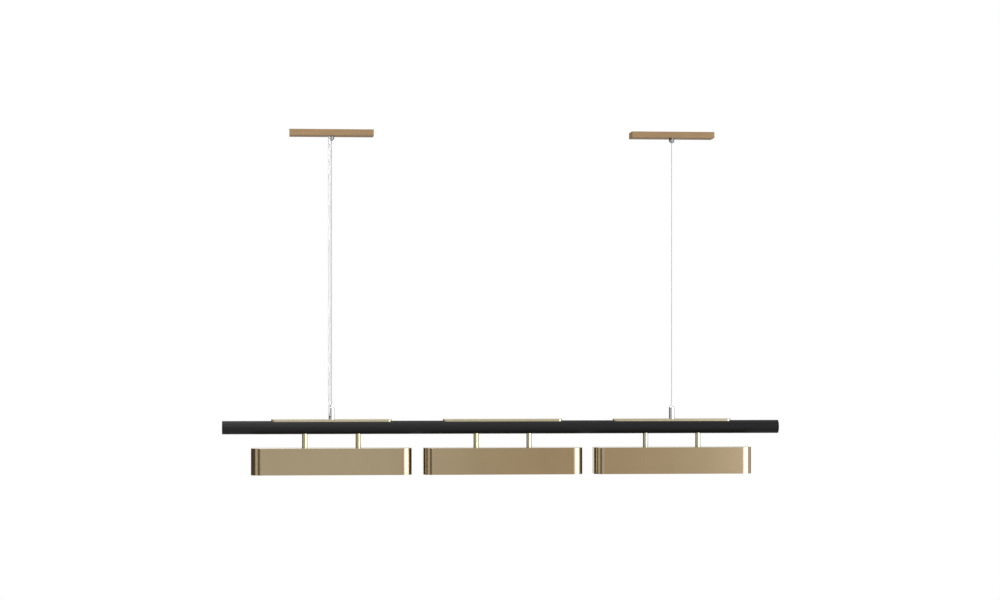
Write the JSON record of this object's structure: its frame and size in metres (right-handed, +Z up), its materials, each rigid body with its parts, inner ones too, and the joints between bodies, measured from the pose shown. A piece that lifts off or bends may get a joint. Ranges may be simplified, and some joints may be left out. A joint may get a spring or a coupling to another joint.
{
  "type": "linear island pendant",
  "caption": "Linear pendant lamp: wide rounded brass shades on stems under a round black tube, hung from ceiling canopies on adjustable wires.",
  "frame": {"origin": "on the ceiling plane, midway between the two canopies", "axes": "+X along the tube towards the canopy without a power cord, -Y towards the viewer, +Z up"},
  "size_m": [1.47, 0.08, 0.903],
  "materials": {
    "brushed_brass": "fine brushed, champagne brass",
    "plate_brass": "satin brass",
    "polished_brass": "polished",
    "satin_black": "satin powder coat",
    "satin_black_cap": "satin powder coat",
    "bright_steel": "bright nickel plate",
    "plunger_steel": "bright nickel plate",
    "ball_steel": "polished",
    "zinc_steel": "zinc plated",
    "screw_steel": "brass plated",
    "spring_steel": "spring steel",
    "wire_rope": "stranded steel rope",
    "clear_cord": "clear",
    "grey_plastic": "moulded",
    "white_plastic": "moulded",
    "core_insulation": "extruded",
    "tray_aluminium": "mill finish",
    "white_board": "white solder mask with yellow LED packages",
    "opal_acrylic": "satin opal"
  },
  "bodies": {
    "ceiling": {"left_canopy_cover": "brushed_brass", "right_canopy_cover": "brushed_brass", "left_ceiling_bracket": "zinc_steel", "right_ceiling_bracket": "zinc_steel", "left_wire_holder": "bright_steel", "right_wire_holder": "bright_steel", "holder_nuts": "zinc_steel", "canopy_screws": "screw_steel", "cord_bush": "grey_plastic", "led_driver": "white_plastic", "terminal_block": "grey_plastic", "canopy_leads": "core_insulation"},
    "hangers": {"wire_pins": "ball_steel", "left_wire": "wire_rope", "right_wire": "wire_rope", "power_cord": "clear_cord"},
    "fixture": {"tube": "satin_black", "end_caps": "satin_black_cap", "tube_lead": "core_insulation", "lead_connectors": "grey_plastic", "lamp_leads": "core_insulation", "gripper_studs": "zinc_steel", "gripper_seats": "zinc_steel", "gripper_nuts": "zinc_steel", "left_gripper_body": "bright_steel", "right_gripper_body": "bright_steel", "left_gripper_spring": "spring_steel", "right_gripper_spring": "spring_steel", "left_saddle_plate": "plate_brass", "left_stems": "polished_brass", "left_threaded_rods": "zinc_steel", "left_rod_nuts": "zinc_steel", "left_shade": "brushed_brass", "left_led_tray": "tray_aluminium", "left_led_board": "white_board", "left_diffuser": "opal_acrylic", "left_diffuser_clips": "spring_steel", "middle_saddle_plate": "plate_brass", "middle_stems": "polished_brass", "middle_threaded_rods": "zinc_steel", "middle_rod_nuts": "zinc_steel", "middle_shade": "brushed_brass", "middle_led_tray": "tray_aluminium", "middle_led_board": "white_board", "middle_diffuser": "opal_acrylic", "middle_diffuser_clips": "spring_steel", "right_saddle_plate": "plate_brass", "right_stems": "polished_brass", "right_threaded_rods": "zinc_steel", "right_rod_nuts": "zinc_steel", "right_shade": "brushed_brass", "right_led_tray": "tray_aluminium", "right_led_board": "white_board", "right_diffuser": "opal_acrylic", "right_diffuser_clips": "spring_steel"},
    "left_plunger": {"left_gripper_plunger": "plunger_steel", "left_gripper_balls": "ball_steel"},
    "right_plunger": {"right_gripper_plunger": "plunger_steel", "right_gripper_balls": "ball_steel"}
  },
  "joints": [
    {"name": "swing", "type": "hinge", "parent": "ceiling", "child": "hangers", "pos_m": [0, 0, -0.021], "axis": [1, 0, 0], "range_deg": [-12, 12]},
    {"name": "height", "type": "slide", "parent": "hangers", "child": "fixture", "axis": [0, 0, 1], "range_m": [0, 0.4], "deforming": ["left_wire", "right_wire", "power_cord"]},
    {"name": "left_plunger_press", "type": "slide", "parent": "fixture", "child": "left_plunger", "axis": [0, 0, -1], "range_m": [0, 0.0025], "stiffness_N_per_m": 600, "springref_m": -0.002, "deforming": ["left_gripper_spring"]},
    {"name": "right_plunger_press", "type": "slide", "parent": "fixture", "child": "right_plunger", "axis": [0, 0, -1], "range_m": [0, 0.0025], "stiffness_N_per_m": 600, "springref_m": -0.002, "deforming": ["right_gripper_spring"]}
  ]
}
